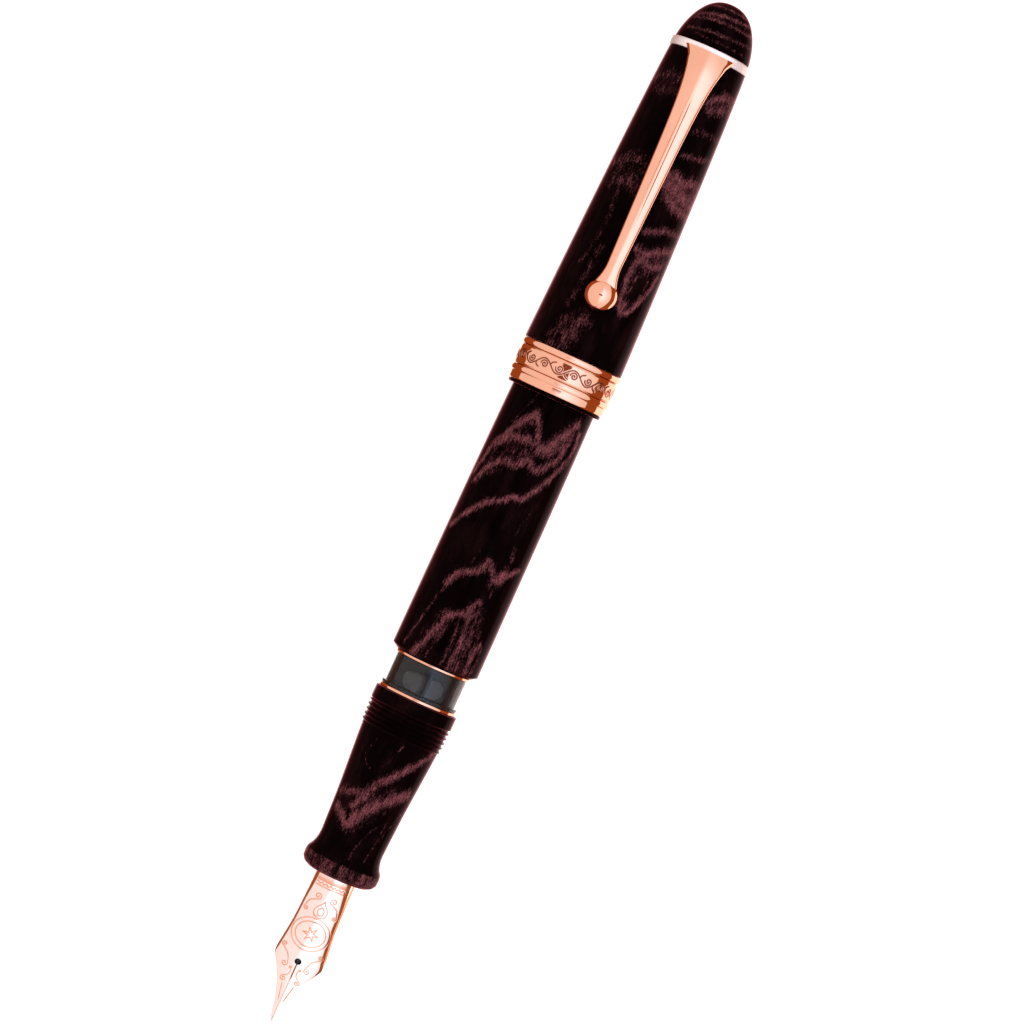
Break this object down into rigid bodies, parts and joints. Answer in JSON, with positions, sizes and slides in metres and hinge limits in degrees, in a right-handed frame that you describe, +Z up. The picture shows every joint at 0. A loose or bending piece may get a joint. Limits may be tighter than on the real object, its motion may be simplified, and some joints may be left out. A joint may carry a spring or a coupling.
{
  "type": "fountain pen",
  "caption": "Piston-filling fountain pen with its cap posted on the tail, a ball-ended spring clip, banded cap, ink window, flared grip and open nib.",
  "frame": {"origin": "centre of the pen's length and width, on the surface it lies on, which the cap band's lowest facet touches", "axes": "+X along the pen from the cap's finial to the nib's tip, +Z up through the clip and the top of the nib, +Y across"},
  "size_m": [0.158, 0.0148, 0.0176],
  "materials": {
    "resin": "polished, near-black burgundy with fine dusty-rose veins",
    "rose_gold": "polished rose-gold plating",
    "nib_gold": "polished rose gold, engraved",
    "tipping": "ground and polished hard alloy",
    "smoked_window": "clear dark smoky resin, polished",
    "black_plastic": "satin black",
    "brass": "turned brass",
    "seal": "smooth black seal"
  },
  "bodies": {
    "pen": {"barrel": "resin", "window_seal_rear": "seal", "window_ring_rear": "rose_gold", "ink_window": "smoked_window", "window_ring_front": "rose_gold", "window_seal_front": "seal", "grip_section": "resin", "nib_housing": "black_plastic", "feed": "black_plastic", "nib": "nib_gold", "nib_tipping": "tipping", "piston_guide": "black_plastic", "thrust_washer": "brass", "retaining_nut": "brass"},
    "cap": {"finial": "resin", "clip_collar": "rose_gold", "cap_body": "resin", "inner_cap": "black_plastic", "band_rear_ring": "rose_gold", "band_centre": "rose_gold", "band_front_ring": "rose_gold", "cap_lip_ring": "resin"},
    "clip": {"clip_arm": "rose_gold"},
    "knob": {"drive_sleeve": "brass", "knob": "resin"},
    "piston": {"piston_rod": "black_plastic", "piston_head": "black_plastic", "piston_seal_rear": "seal", "piston_seal_front": "seal"}
  },
  "joints": [
    {"name": "cap_slide", "type": "slide", "parent": "pen", "child": "cap", "axis": [-1, 0, 0], "range_m": [0, 0.045]},
    {"name": "clip_flex", "type": "hinge", "parent": "cap", "child": "clip", "pos_m": [-0.07155, 0, 0.01334], "axis": [0, -1, 0], "range_deg": [0, 3], "stiffness_Nm_per_rad": 5},
    {"name": "knob_turn", "type": "hinge", "parent": "pen", "child": "knob", "pos_m": [-0.045, 0, 0.00739], "axis": [-1, 0, 0], "range_deg": [0, 1440]},
    {"name": "piston_slide", "type": "slide", "parent": "pen", "child": "piston", "axis": [1, 0, 0], "range_m": [0, 0.022]}
  ],
  "couplings": [
    {"joint": "knob_turn", "follows": "piston_slide", "rad_per_m": 1142.4}
  ]
}
